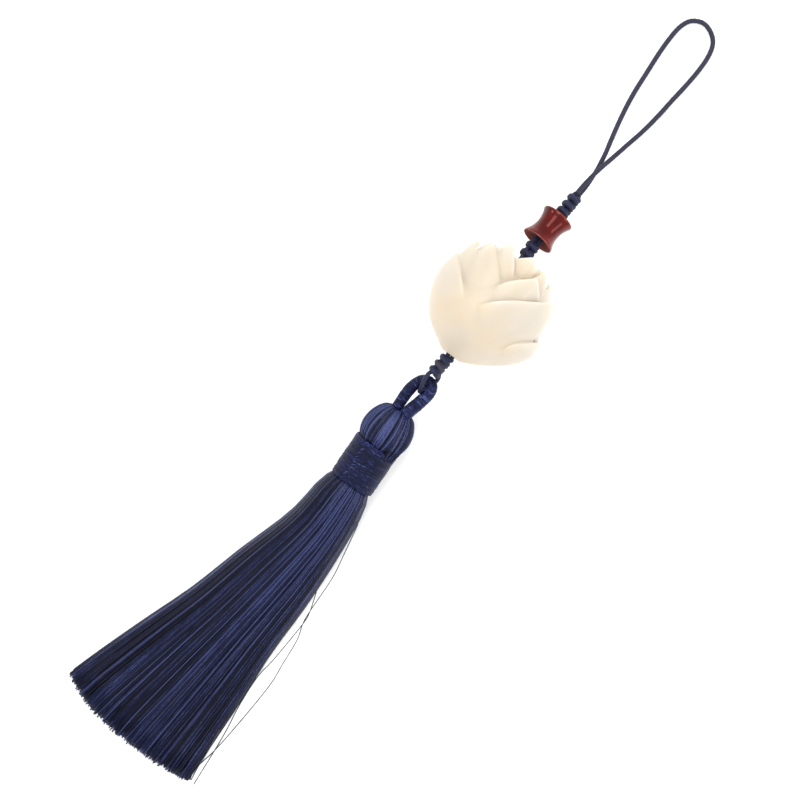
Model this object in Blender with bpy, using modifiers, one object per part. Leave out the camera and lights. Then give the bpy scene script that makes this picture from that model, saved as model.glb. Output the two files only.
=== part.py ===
"""A tassel charm of navy silk, lying on its back on a flat surface.

From one end to the other it is a loop of thin cord, a snake knot, a waisted red bead, a second
knot, a carved lotus bead, a third knot with a small link loop, a thread-wrapped loop and a
tassel: its bulb, the binding round its neck and its skirt of strands, fanned out on the surface.

Sizes are in millimetres. +Y runs from the skirt to the cord loop, +X to the right of it and +Z
up. The surface is at Z = 0, and the origin lies on it, under the middle of everything but the
free cord loop.
"""

import math
import random

import bmesh
import bpy
from mathutils import Quaternion, Vector

MM = 0.001
GAP = 0.3
WELD = 0.00001

# Cord: thin round cord, pressed double where it runs through the beads
CORD_RADIUS = 0.55
DOUBLE_CORD_RADIUS = 0.9
HOLE_RADIUS = DOUBLE_CORD_RADIUS + GAP

# Snake knots: each is a pair of turns of the cord that lean opposite ways
TURN_RADIUS = 1.1
TURN_LEAN = 20.0
TURN_SEGMENTS = 12
TURN_SIDES = 6

# Waisted bead
BEAD_RIM_RADIUS = 3.75
BEAD_WAIST_RADIUS = 2.9
BEAD_LENGTH = 7.25
BEAD_RIM_WIDTH = 0.45
BEAD_DISH = 0.75
BEAD_BEVEL = 0.15
BEAD_FLARE_POWER = 2.3
BEAD_WAIST_STEPS = 7
BEAD_STEPS = 24

# Lotus bead, which lies on its side with its base towards the tassel
LOTUS_BASE = (3.45, 33.6, 13.0)
LOTUS_YAW = 1.8
LOTUS_STEPS = 23
PETAL_COLUMNS = 4
PETAL_ROWS = 4
PETAL_FOOT_WALL = 1.6
PETAL_TIP_WALL = 0.7
PETAL_DIP = 1.4
PETAL_DIP_START = 0.15
PETAL_FOOT_WIDTH = 0.6
PETAL_TIP_WIDTH = 0.06
PETAL_POINT_POWER = 2.8
PETAL_TURN_POWER = 1.5
SURFACE_DEPTH = 60.0

# Tassel: its neck runs through the binding and rises a little towards the lotus
NECK_START = (4.12, -1.35, 5.87)
NECK_DIRECTION = (-0.081, 1.0, 0.134)
NECK_RADIUS = 4.4
BULB_STEPS = 24
BINDING_LENGTH = 9.8
BINDING_RADIUS = 5.25
BINDING_STEPS = 24

# Thread-wrapped loop on top of the tassel, and the link loop of cord that holds it
WRAPPED_RADIUS = 1.22
POCKET_FLOOR = (2.80, 13.5, 8.05)
POCKET_SIZE = (6.3, 3.5, 8.0)
POCKET_DIRECTION = (0.02, 1.0, 0.2)
POCKET_ROLL = -14.0
LINK_RADIUS = 0.48

# Skirt
STRAND_CELLS = 160
STRAND_SHIFT = 0.4
STRAND_SEED = 7
STRAND_ROOT_RADIUS = 0.24
STRAND_END_RADIUS = 0.43
STRAND_SIDES = 3
STRAND_TAPER_POWER = 0.6
STRAND_STATIONS = (-0.7, -4.2, -11.0, -26.0, -50.0)
SKIRT_END = -76.9
SKIRT_END_CURVE = 3.4
SKIRT_END_JITTER = 0.45
RESTING_SHARE = 0.045
SKIRT_SPREAD = 1 / 0.95
SKIRT_RIM = 0.99
SKIRT_EDGE_LAYERS = 3
SKIRT_CROWN_POWER = 3
SKIRT_END_CURVE_POWER = 2.5

# Middle line of the double cord, from its knot at the cord loop to its knot at the link loop
DOUBLE_CORD_LINE = (
    (2.87, 77.2, 8.80),
    (2.75, 71.75, 9.95),
    (2.38, 64.66, 11.50),
    (2.40, 61.4, 12.30),
    (2.66, 58.6, 13.00),
    (3.41, 34.8, 13.00),
    (3.20, 32.4, 12.80),
    (2.92, 28.7, 12.25),
)
BEAD_ENDS = (DOUBLE_CORD_LINE[1], DOUBLE_CORD_LINE[2])

# Knots on that line: where each starts and ends, and how many snake knots it holds
KNOTS = (
    {"start": (2.88, 77.2, 8.80), "end": (2.79, 72.4, 9.78), "turns": 3},
    {"start": (2.33, 64.1, 11.65), "end": (2.45, 60.6, 12.50), "turns": 2},
    {"start": (3.25, 33.05, 12.85), "end": (2.93, 28.25, 12.20), "turns": 3},
)

# Free cord loop: out of the knot, along the surface, round its crown and back over the first leg
CORD_LOOP_ROUTE = (
    (3.20, 78.35, 8.15),
    (3.25, 80.6, 7.55),
    (3.05, 83.2, 6.6),
    (2.70, 86.0, 5.4),
    (2.00, 89.4, 4.1),
    (0.95, 93.2, 2.75),
    (-0.10, 97.2, 1.75),
    (-0.95, 101.0, 1.0),
    (-1.60, 104.8, 0.64),
    (-2.15, 109.5, 0.58),
    (-2.70, 114.3, 0.58),
    (-2.95, 118.6, 0.58),
    (-2.75, 121.9, 0.58),
    (-1.70, 124.3, 0.58),
    (0.55, 125.6, 0.58),
    (3.00, 125.2, 0.58),
    (5.05, 123.6, 0.58),
    (6.10, 120.9, 0.58),
    (6.45, 117.0, 0.58),
    (6.35, 112.6, 0.58),
    (6.05, 108.0, 0.58),
    (5.80, 103.4, 0.9),
    (5.30, 98.6, 1.75),
    (4.55, 94.1, 2.95),
    (3.85, 89.8, 4.6),
    (3.25, 86.4, 6.65),
    (2.85, 83.2, 8.0),
    (2.65, 80.6, 8.85),
    (2.60, 78.35, 9.3),
)

# Link loop: from the knot over the crown of the wrapped loop, through its eye and back below
LINK_ROUTE = (
    (2.60, 28.9, 12.5),
    (2.20, 27.5, 13.05),
    (2.35, 26.0, 13.15),
    (2.80, 24.5, 12.6),
    (3.08, 23.6, 11.4),
    (3.15, 23.45, 10.0),
    (3.40, 24.05, 8.75),
    (3.95, 25.8, 8.35),
    (4.55, 27.5, 9.2),
    (4.20, 28.8, 10.8),
    (3.35, 29.3, 11.9),
)

# Wrapped loop: out of the bulb, round its crown and back in
WRAPPED_ROUTE = (
    (1.50, 14.2, 7.9),
    (1.40, 17.2, 8.35),
    (1.15, 19.4, 8.7),
    (0.97, 21.6, 9.15),
    (1.10, 23.9, 9.75),
    (2.00, 25.45, 10.3),
    (3.25, 25.85, 10.7),
    (4.50, 25.25, 10.95),
    (5.15, 23.6, 10.85),
    (5.05, 21.3, 10.3),
    (4.60, 19.2, 9.65),
    (4.30, 17.2, 9.2),
    (4.10, 14.2, 8.5),
)

# Bulb and neck of the tassel: distance along its axis from the neck's start, and radius
BULB_PROFILE = (
    (-2.6, 0.0),
    (-2.4, 2.6),
    (-1.4, 4.05),
    (-0.6, NECK_RADIUS),
    (10.0, NECK_RADIUS),
    (10.5, 5.0),
    (11.6, 5.5),
    (13.5, 5.66),
    (15.6, 5.42),
    (17.4, 4.65),
    (18.7, 3.5),
    (19.5, 2.0),
    (19.7, 0.0),
)

# Binding's section: distance along the same axis, and radius
BINDING_SECTION = (
    (0.0, BINDING_RADIUS - 0.2),
    (0.0, NECK_RADIUS + GAP),
    (BINDING_LENGTH, NECK_RADIUS + GAP),
    (BINDING_LENGTH, BINDING_RADIUS - 0.2),
    (BINDING_LENGTH - 0.25, BINDING_RADIUS),
    (BINDING_LENGTH / 2, BINDING_RADIUS + 0.05),
    (0.25, BINDING_RADIUS),
)

# Skirt sections: y, middle x, half width, height of the crown, and how far the strands have
# settled from the round of the neck (0) to lying flat on the surface (1)
SKIRT = (
    {"y": -0.7, "middle": 4.07, "half": 3.9, "crown": 10.2, "settled": 0.0},
    {"y": -3.2, "middle": 4.25, "half": 5.1, "crown": 10.4, "settled": 0.06},
    {"y": -6.0, "middle": 4.37, "half": 6.25, "crown": 10.3, "settled": 0.25},
    {"y": -15.0, "middle": 4.8, "half": 7.4, "crown": 9.3, "settled": 0.75},
    {"y": -28.1, "middle": 4.1, "half": 9.45, "crown": 7.8, "settled": 1.0},
    {"y": -41.3, "middle": 2.7, "half": 11.55, "crown": 6.6, "settled": 1.0},
    {"y": -54.5, "middle": 1.4, "half": 14.25, "crown": 5.6, "settled": 1.0},
    {"y": -72.1, "middle": -0.2, "half": 17.5, "crown": 4.6, "settled": 1.0},
    {"y": -78.0, "middle": -0.3, "half": 17.9, "crown": 4.4, "settled": 1.0},
)

# Turned body of the lotus under its petals, with its hole: height from the base, and radius
LOTUS_BODY = (
    (1.1, HOLE_RADIUS),
    (0.0, 2.1),
    (0.6, 3.4),
    (3.4, 8.0),
    (6.4, 10.7),
    (11.0, 11.6),
    (16.0, 11.0),
    (18.3, 9.9),
    (21.0, 8.7),
    (23.6, 6.3),
    (25.2, 3.6),
    (24.9, HOLE_RADIUS),
)

# Rings of petals: foot and bulge of a petal's midline as (height, radius), and half its angle
PETAL_RINGS = {
    "outer": {"foot": (1.0, 4.3), "bulge": (7.8, 16.4), "half_angle": 41.0},
    "second": {"foot": (4.0, 7.5), "bulge": (12.0, 15.0), "half_angle": 36.0},
    "third": {"foot": (9.0, 8.5), "bulge": (16.5, 12.4), "half_angle": 36.0},
    "inner": {"foot": (14.0, 6.8), "bulge": (20.5, 9.5), "half_angle": 38.0},
}

# Petals: angle of the foot from the right through the top, how far the petal turns round the bead
# from there to its tip, and the height and radius of the tip
PETALS = (
    {"ring": "outer", "foot": 4, "turn": 0, "tip": (13.8, 13.6)},
    {"ring": "outer", "foot": 78, "turn": -44, "tip": (22.0, 13.0)},
    {"ring": "outer", "foot": 142, "turn": 28, "tip": (18.6, 12.4)},
    {"ring": "outer", "foot": 212, "turn": 0, "tip": (18.2, 12.7)},
    {"ring": "outer", "foot": 272, "turn": 8, "tip": (18.6, 12.8)},
    {"ring": "outer", "foot": 332, "turn": 0, "tip": (16.3, 13.2)},
    {"ring": "second", "foot": 352, "turn": 0, "tip": (21.8, 11.9)},
    {"ring": "second", "foot": 67, "turn": -5, "tip": (24.0, 10.4)},
    {"ring": "second", "foot": 106, "turn": 34, "tip": (24.7, 9.3)},
    {"ring": "second", "foot": 141, "turn": 29, "tip": (23.2, 10.6)},
    {"ring": "second", "foot": 228, "turn": 0, "tip": (22.0, 11.2)},
    {"ring": "second", "foot": 296, "turn": 0, "tip": (22.6, 11.0)},
    {"ring": "third", "foot": 4, "turn": 0, "tip": (25.1, 8.4)},
    {"ring": "third", "foot": 28, "turn": 12, "tip": (26.4, 7.4)},
    {"ring": "third", "foot": 119, "turn": 0, "tip": (26.7, 7.6)},
    {"ring": "third", "foot": 183, "turn": 0, "tip": (24.9, 7.9)},
    {"ring": "third", "foot": 246, "turn": 0, "tip": (25.6, 8.1)},
    {"ring": "third", "foot": 312, "turn": 0, "tip": (25.2, 8.0)},
    {"ring": "inner", "foot": 38, "turn": 0, "tip": (26.3, 5.8)},
    {"ring": "inner", "foot": 76, "turn": 0, "tip": (27.3, 6.0)},
    {"ring": "inner", "foot": 152, "turn": 0, "tip": (26.6, 5.0)},
    {"ring": "inner", "foot": 214, "turn": 0, "tip": (26.2, 5.2)},
    {"ring": "inner", "foot": 286, "turn": 0, "tip": (26.6, 5.3)},
)


def clear_scene():
    for obj in list(bpy.data.objects):
        bpy.data.objects.remove(obj)


def new_collection(name, parent=None, hidden=False):
    collection = bpy.data.collections.new(name)
    (parent or bpy.context.scene.collection).children.link(collection)
    collection.hide_render = hidden
    return collection


def new_material(name, colour, roughness, metallic=0.0):
    material = bpy.data.materials.new(name)
    material.use_nodes = True
    shader = material.node_tree.nodes["Principled BSDF"]
    shader.inputs["Base Color"].default_value = (*colour, 1.0)
    shader.inputs["Roughness"].default_value = roughness
    shader.inputs["Metallic"].default_value = metallic
    material.diffuse_color = (*colour, 1.0)
    return material


def add_part(name, data, material, parts):
    obj = bpy.data.objects.new(name, data)
    data.materials.append(material)
    parts.objects.link(obj)
    return obj


def make_helper(obj, collection):
    """Keeps a cutter or guide in its own collection, drawn as wire and left out of renders."""
    for owner in list(obj.users_collection):
        owner.objects.unlink(obj)
    collection.objects.link(obj)
    obj.hide_render = True
    obj.display_type = "WIRE"
    return obj


def place_along(obj, origin, direction):
    """Puts an object at a point with its own Z along a direction."""
    obj.location = Vector(origin) * MM
    obj.rotation_mode = "QUATERNION"
    obj.rotation_quaternion = Vector(direction).to_track_quat("Z", "Y")


def shade(obj, angle=40.0):
    obj.data.shade_smooth()
    obj.data.set_sharp_from_angle(angle=math.radians(angle))


def catmull_rom(a, b, c, d, t):
    """Where a smooth curve through a, b, c and d lies at share t of the way from b to c."""
    linear = (c - a) * t
    squared = (2 * a - 5 * b + 4 * c - d) * t**2
    cubed = (3 * b - a - 3 * c + d) * t**3
    return (2 * b + linear + squared + cubed) * 0.5


def smooth_route(route, spacing):
    """Points about spacing apart on a smooth curve through the route's own points."""
    knots = [Vector(point) for point in route]
    knots = [2 * knots[0] - knots[1], *knots, 2 * knots[-1] - knots[-2]]
    points = [knots[1]]
    for i in range(1, len(knots) - 2):
        steps = max(1, round((knots[i + 1] - knots[i]).length / spacing))
        points += [catmull_rom(*knots[i - 1 : i + 3], step / steps) for step in range(1, steps + 1)]
    return points


def table_value(rows, column, y):
    """The value of a table's column at y, on a smooth curve through the rows."""
    row = 0
    while row < len(rows) - 2 and y < rows[row + 1]["y"]:
        row += 1
    share = (rows[row]["y"] - y) / (rows[row]["y"] - rows[row + 1]["y"])
    nearby = [min(max(row + step, 0), len(rows) - 1) for step in (-1, 0, 1, 2)]
    return catmull_rom(*(rows[index][column] for index in nearby), share)


def tube_curve(name, points, radius, resolution=2):
    """A curve that draws a round tube with closed ends through the points."""
    curve = bpy.data.curves.new(name, "CURVE")
    curve.dimensions = "3D"
    curve.bevel_depth = radius * MM
    curve.bevel_resolution = resolution
    curve.use_fill_caps = True
    add_spline(curve, points)
    return curve


def add_spline(curve, points, radii=None):
    spline = curve.splines.new("POLY")
    spline.points.add(len(points) - 1)
    for index, point in enumerate(points):
        spline.points[index].co = (*(Vector(point) * MM), 1.0)
        if radii:
            spline.points[index].radius = radii[index]


def curve_to_mesh(curve, collection):
    """A mesh object of what a curve draws, with its caps welded on."""
    guide = bpy.data.objects.new("guide", curve)
    collection.objects.link(guide)
    graph = bpy.context.evaluated_depsgraph_get()
    mesh = bpy.data.meshes.new_from_object(guide.evaluated_get(graph))
    welded = bmesh.new()
    welded.from_mesh(mesh)
    bmesh.ops.remove_doubles(welded, verts=welded.verts, dist=WELD)
    bmesh.ops.recalc_face_normals(welded, faces=welded.faces)
    welded.to_mesh(mesh)
    welded.free()
    obj = bpy.data.objects.new(curve.name, mesh)
    obj.matrix_world = guide.matrix_world
    collection.objects.link(obj)
    bpy.data.objects.remove(guide)
    return obj


def profile_mesh(name, profile, closed):
    """A line of (distance, radius) points in the XZ plane for a Screw modifier to turn."""
    mesh = bpy.data.meshes.new(name)
    points = [(radius * MM, 0, distance * MM) for distance, radius in profile]
    edges = [(i, i + 1) for i in range(len(points) - 1)]
    if closed:
        edges.append((len(points) - 1, 0))
    mesh.from_pydata(points, edges, [])
    return mesh


def add_screw(obj, steps):
    screw = obj.modifiers.new("Turn", "SCREW")
    screw.steps = steps
    screw.render_steps = steps
    screw.use_merge_vertices = True
    screw.merge_threshold = WELD


def add_boolean(obj, operation, tool):
    """Joins to an object, or cuts from it, another object or all those of a collection."""
    modifier = obj.modifiers.new(operation.title(), "BOOLEAN")
    modifier.operation = operation
    modifier.solver = "EXACT"
    if isinstance(tool, bpy.types.Collection):
        modifier.operand_type = "COLLECTION"
        modifier.collection = tool
    else:
        modifier.object = tool


def build_cord_loop(material, parts):
    """The free cord loop that threads through a phone's lanyard hole."""
    points = smooth_route(CORD_LOOP_ROUTE, 2.5)
    add_part("cord_loop", tube_curve("cord_loop", points, CORD_RADIUS), material, parts)


def add_knot(obj, row, tools):
    """Joins one row of snake knots to the cord, its turns leaning to alternate sides."""
    start, end = Vector(row["start"]), Vector(row["end"])
    along = (end - start).normalized()
    across = along.cross(Vector((0, 0, 1))).normalized()
    lean = math.tan(math.radians(TURN_LEAN))
    count = 2 * row["turns"]
    for i in range(count):
        bpy.ops.mesh.primitive_torus_add(
            major_radius=TURN_RADIUS * MM,
            minor_radius=CORD_RADIUS * MM,
            major_segments=TURN_SEGMENTS,
            minor_segments=TURN_SIDES,
        )
        turn = make_helper(bpy.context.object, tools)
        side = 1 if i % 2 else -1
        place_along(turn, start.lerp(end, (i + 0.5) / count), along + side * lean * across)
        add_boolean(obj, "UNION", turn)


def build_knotted_cord(material, parts, tools):
    """The double cord with its knots and its link loop, as one piece."""
    obj = curve_to_mesh(tube_curve("knotted_cord", DOUBLE_CORD_LINE, DOUBLE_CORD_RADIUS), parts)
    obj.data.materials.append(material)
    for row in KNOTS:
        add_knot(obj, row, tools)
    link = tube_curve("link_loop", smooth_route(LINK_ROUTE, 1.3), LINK_RADIUS, 1)
    add_boolean(obj, "UNION", make_helper(curve_to_mesh(link, tools), tools))


def bead_section():
    """The bead's section as (distance, radius), up its hole and down its waisted side."""
    half = BEAD_LENGTH / 2
    flare = BEAD_RIM_RADIUS - BEAD_WAIST_RADIUS
    end = [(half - BEAD_DISH, HOLE_RADIUS), (half, BEAD_RIM_RADIUS - BEAD_RIM_WIDTH)]
    side = []
    for step in range(BEAD_WAIST_STEPS + 1):
        share = 1 - 2 * step / BEAD_WAIST_STEPS
        side.append((share * (half - BEAD_BEVEL), BEAD_WAIST_RADIUS + flare * abs(share) ** BEAD_FLARE_POWER))
    other_end = [(-distance, radius) for distance, radius in reversed(end)]
    rim = BEAD_RIM_RADIUS - BEAD_BEVEL
    return end + [(half, rim)] + side + [(-half, rim)] + other_end


def build_bead(material, parts):
    """The waisted red bead, turned about the double cord."""
    mesh = profile_mesh("waisted_bead", bead_section(), closed=True)
    obj = add_part("waisted_bead", mesh, material, parts)
    add_screw(obj, BEAD_STEPS)
    upper, lower = (Vector(point) for point in BEAD_ENDS)
    place_along(obj, (upper + lower) / 2, upper - lower)


def petal_width(v):
    """A petal's width at share v of its length from the foot, as a share of its full width."""
    if v < 0.5:
        return PETAL_FOOT_WIDTH + (1 - PETAL_FOOT_WIDTH) * math.sin(math.pi * v)
    return max(PETAL_TIP_WIDTH, 1 - (2 * v - 1) ** PETAL_POINT_POWER)


def petal_point(petal, u, v, depth):
    """A point of a petal: u across it from -1 to 1, v along it, and depth under its outer face."""
    ring = PETAL_RINGS[petal["ring"]]
    path = zip(ring["foot"], ring["bulge"], petal["tip"])
    height, radius = ((1 - v) ** 2 * a + 2 * v * (1 - v) * b + v**2 * c for a, b, c in path)
    dip_place = PETAL_DIP_START + (1 - PETAL_DIP_START) * v
    radius -= depth + PETAL_DIP * u**2 * math.sqrt(math.sin(math.pi * dip_place))
    turned = petal["turn"] * v**PETAL_TURN_POWER
    turn = math.radians(petal["foot"] + turned + u * ring["half_angle"] * petal_width(v))
    return Vector((radius * math.cos(turn), -radius * math.sin(turn), height)) * MM


def build_petal(petal, petals):
    """One petal: a grid thickened by extruding it, then bent to its cupped outline."""
    form = bmesh.new()
    bmesh.ops.create_grid(form, x_segments=PETAL_COLUMNS, y_segments=PETAL_ROWS, size=1.0)
    bmesh.ops.solidify(form, geom=form.faces[:], thickness=1.0)
    for vert in form.verts:
        u, v = vert.co.x, (vert.co.y + 1) / 2
        wall = PETAL_FOOT_WALL + (PETAL_TIP_WALL - PETAL_FOOT_WALL) * v
        vert.co = petal_point(petal, u, v, wall if abs(vert.co.z) > 0.5 else 0.0)
    bmesh.ops.recalc_face_normals(form, faces=form.faces)
    mesh = bpy.data.meshes.new("petal")
    form.to_mesh(mesh)
    form.free()
    obj = make_helper(bpy.data.objects.new("petal", mesh), petals)
    lay_lotus(obj)


def lay_lotus(obj):
    """Turns a piece of the lotus, built upright, onto its side and puts it in its place."""
    obj.rotation_euler = (math.radians(-90), 0, math.radians(LOTUS_YAW))
    obj.location = Vector(LOTUS_BASE) * MM


def build_lotus(material, parts, tools):
    """The carved lotus bead: a turned body with its petals, a hole and a flat spot to rest on."""
    body = list(reversed(LOTUS_BODY))
    obj = add_part("lotus_bead", profile_mesh("lotus_bead", body, closed=True), material, parts)
    add_screw(obj, LOTUS_STEPS)
    lay_lotus(obj)
    petals = new_collection("petals", tools, hidden=True)
    for petal in PETALS:
        build_petal(petal, petals)
    add_boolean(obj, "UNION", petals)
    below = (0.0, LOTUS_BASE[1] * MM, -SURFACE_DEPTH / 2 * MM)
    bpy.ops.mesh.primitive_cube_add(size=SURFACE_DEPTH * MM, location=below)
    surface = make_helper(bpy.context.object, tools)
    add_boolean(obj, "DIFFERENCE", surface)


def build_binding(material, parts):
    """The binding wound round the tassel's neck, as a turned sleeve."""
    mesh = profile_mesh("neck_binding", BINDING_SECTION, closed=True)
    obj = add_part("neck_binding", mesh, material, parts)
    add_screw(obj, BINDING_STEPS)
    place_along(obj, NECK_START, NECK_DIRECTION)


def strand_places():
    """Shares (across, up) that spread the strands evenly however the skirt is stretched."""
    golden = (math.sqrt(5) - 1) / 2
    places = []
    for i in range(STRAND_CELLS):
        across = (2 * (i + 0.5) / STRAND_CELLS - 1) * SKIRT_SPREAD
        level = (2 * ((i * golden + STRAND_SHIFT) % 1.0) - 1) * SKIRT_SPREAD
        if math.hypot(across, level) < SKIRT_RIM:
            up = (level / math.sqrt(1 - across**2) + 1) / 2
            places.append((across, 0.0 if up < RESTING_SHARE else up))
    return places


def skirt_point(across, up, y, radius):
    """The middle of a strand of this radius at its shares across and up the skirt's section."""
    half = table_value(SKIRT, "half", y) - radius
    settled = min(1.0, max(0.0, table_value(SKIRT, "settled", y)))
    crown = table_value(SKIRT, "crown", y)
    axis = NECK_START[2] + (y - NECK_START[1]) * NECK_DIRECTION[2]
    reach = half * math.sqrt(1 - across**2)
    flat_top = max(SKIRT_EDGE_LAYERS * 2 * radius, crown * math.sqrt(1 - abs(across) ** SKIRT_CROWN_POWER))
    low = (1 - settled) * max(0.0, axis - reach) + radius / 2
    high = (1 - settled) * min(crown, axis + reach) + settled * flat_top - radius
    return (table_value(SKIRT, "middle", y) + across * half, y, low + up * (high - low))


def build_strands(tools):
    """The skirt's strands: three-sided tapered tubes, flat side down, as one mesh."""
    section = bpy.data.curves.new("strand_section", "CURVE")
    section.dimensions = "2D"
    turns = [2 * math.pi * side / STRAND_SIDES for side in range(STRAND_SIDES)]
    add_spline(section, [(math.sin(turn), math.cos(turn), 0) for turn in turns])
    section.splines[0].use_cyclic_u = True
    guide = make_helper(bpy.data.objects.new("strand_section", section), tools)
    curve = bpy.data.curves.new("strands", "CURVE")
    curve.dimensions = "3D"
    curve.twist_mode = "Z_UP"
    curve.bevel_mode = "OBJECT"
    curve.bevel_object = guide
    curve.use_fill_caps = True
    draw = random.Random(STRAND_SEED)
    for across, up in strand_places():
        curve_back = SKIRT_END_CURVE * abs(across) ** SKIRT_END_CURVE_POWER
        end = SKIRT_END + curve_back + draw.uniform(-1, 1) * SKIRT_END_JITTER
        stations = [*STRAND_STATIONS, end]
        radii = []
        for y in stations:
            share = min(1.0, (STRAND_STATIONS[0] - y) / (STRAND_STATIONS[0] - SKIRT_END))
            growth = (STRAND_END_RADIUS - STRAND_ROOT_RADIUS) * share**STRAND_TAPER_POWER
            radii.append(STRAND_ROOT_RADIUS + growth)
        points = [skirt_point(across, up, y, radius) for y, radius in zip(stations, radii)]
        add_spline(curve, points, radii)
    return make_helper(curve_to_mesh(curve, tools), tools)


def build_tassel(material, parts, tools):
    """The tassel: bulb and neck in one with the strands, and a pocket for the wrapped loop."""
    profile = list(reversed(BULB_PROFILE))
    obj = add_part("tassel", profile_mesh("tassel", profile, closed=False), material, parts)
    add_screw(obj, BULB_STEPS)
    place_along(obj, NECK_START, NECK_DIRECTION)
    add_boolean(obj, "UNION", build_strands(tools))
    bpy.ops.mesh.primitive_cube_add(size=MM)
    pocket = make_helper(bpy.context.object, tools)
    along = Vector(POCKET_DIRECTION).normalized()
    place_along(pocket, Vector(POCKET_FLOOR) + along * POCKET_SIZE[2] / 2, along)
    pocket.rotation_quaternion @= Quaternion((0, 0, 1), math.radians(POCKET_ROLL))
    pocket.scale = POCKET_SIZE
    add_boolean(obj, "DIFFERENCE", pocket)


def build_wrapped_loop(material, parts):
    """The thread-wrapped loop that stands on the bulb and holds the link loop."""
    points = smooth_route(WRAPPED_ROUTE, 1.6)
    add_part("wrapped_loop", tube_curve("wrapped_loop", points, WRAPPED_RADIUS), material, parts)


def main():
    clear_scene()
    parts = new_collection("tassel_charm")
    tools = new_collection("cutters", hidden=True)
    cord = new_material("navy_cord", (0.022, 0.028, 0.085), 0.6)
    silk = new_material("navy_silk", (0.018, 0.024, 0.10), 0.45)
    red_stone = new_material("red_stone", (0.20, 0.018, 0.014), 0.15)
    carved_seed = new_material("carved_seed", (0.87, 0.76, 0.58), 0.4)
    build_cord_loop(cord, parts)
    build_knotted_cord(cord, parts, tools)
    build_bead(red_stone, parts)
    build_lotus(carved_seed, parts, tools)
    build_binding(silk, parts)
    build_wrapped_loop(silk, parts)
    build_tassel(silk, parts, tools)
    for obj in parts.objects:
        if obj.type == "MESH":
            shade(obj)


main()
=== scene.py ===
import math

import bpy
import numpy as np
from mathutils import Matrix, Vector, noise


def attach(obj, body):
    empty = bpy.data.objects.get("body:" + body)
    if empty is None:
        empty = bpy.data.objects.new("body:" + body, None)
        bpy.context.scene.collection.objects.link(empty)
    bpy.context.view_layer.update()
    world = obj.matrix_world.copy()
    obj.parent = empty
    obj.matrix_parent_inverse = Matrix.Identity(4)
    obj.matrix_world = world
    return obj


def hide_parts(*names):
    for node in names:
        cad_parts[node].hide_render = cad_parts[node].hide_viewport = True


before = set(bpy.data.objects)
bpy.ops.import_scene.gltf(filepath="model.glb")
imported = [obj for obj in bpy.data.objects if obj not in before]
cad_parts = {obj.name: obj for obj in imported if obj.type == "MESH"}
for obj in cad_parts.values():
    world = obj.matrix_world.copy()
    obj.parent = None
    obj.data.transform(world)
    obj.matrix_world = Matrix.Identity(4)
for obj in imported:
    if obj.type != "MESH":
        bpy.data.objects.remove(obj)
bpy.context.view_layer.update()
mm = 0.001
chance = np.random.default_rng(11)


def tellStage(words):
    print("scene:", words)


def linearColour(hexColour):
    parts = [int(hexColour[i:i + 2], 16) / 255 for i in (0, 2, 4)]
    return tuple(p / 12.92 if p <= 0.04045 else ((p + 0.055) / 1.055) ** 2.4 for p in parts) + (1.0,)


# Camera: straight above the charm, turned so that the charm lies across the picture
cameraSetup = {
    "place": (1.0, 19.3, 700.0),  # mm
    "turn": 39.0,  # degrees, as the charm slants in the picture
    "sensor": 36.0,
    "pictureWidth": 176.0,  # mm of floor across the picture
}

bpy.ops.object.select_all(action="DESELECT")
bpy.ops.object.camera_add(
    location=Vector(cameraSetup["place"]) * mm,
    rotation=(0.0, 0.0, math.radians(cameraSetup["turn"])),
)
camera = bpy.context.object
camera.name = "pictureCamera"
camera.data.sensor_width = cameraSetup["sensor"]
camera.data.lens = cameraSetup["sensor"] * cameraSetup["place"][2] / cameraSetup["pictureWidth"]
camera.data.clip_start = 0.01
bpy.context.scene.camera = camera
tellStage("camera is up")


# Nodes and materials
def addNode(tree, kind, settings=None, inputs=None, stops=()):
    # an input is a value or another node's output, and stops are a colour ramp's (place, hex) pairs
    made = tree.nodes.new(kind)
    for name, value in (settings or {}).items():
        setattr(made, name, value)
    for name, value in (inputs or {}).items():
        if isinstance(value, bpy.types.NodeSocket):
            tree.links.new(value, made.inputs[name])
        else:
            made.inputs[name].default_value = value
    if stops:
        elements = made.color_ramp.elements
        elements[0].position, elements[1].position = stops[0][0], stops[-1][0]
        for place, hexColour in stops[1:-1]:
            elements.new(place)
        for element, (place, hexColour) in zip(elements, stops):
            element.color = linearColour(hexColour)
    return made


def newMaterial(name, surface):
    material = bpy.data.materials.new(name)
    material.use_nodes = True
    tree = material.node_tree
    tree.nodes.clear()
    shader = addNode(tree, "ShaderNodeBsdfPrincipled", None, surface)
    addNode(tree, "ShaderNodeOutputMaterial", None, {"Surface": shader.outputs["BSDF"]})
    return material, tree, shader


# Thread, cord and grid meshes: all are closed grids gathered in a bag, then made one mesh
def newBag():
    return {"points": [], "quads": [], "quadUvs": [], "caps": [], "capUvs": [], "tints": [], "count": 0}


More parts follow.
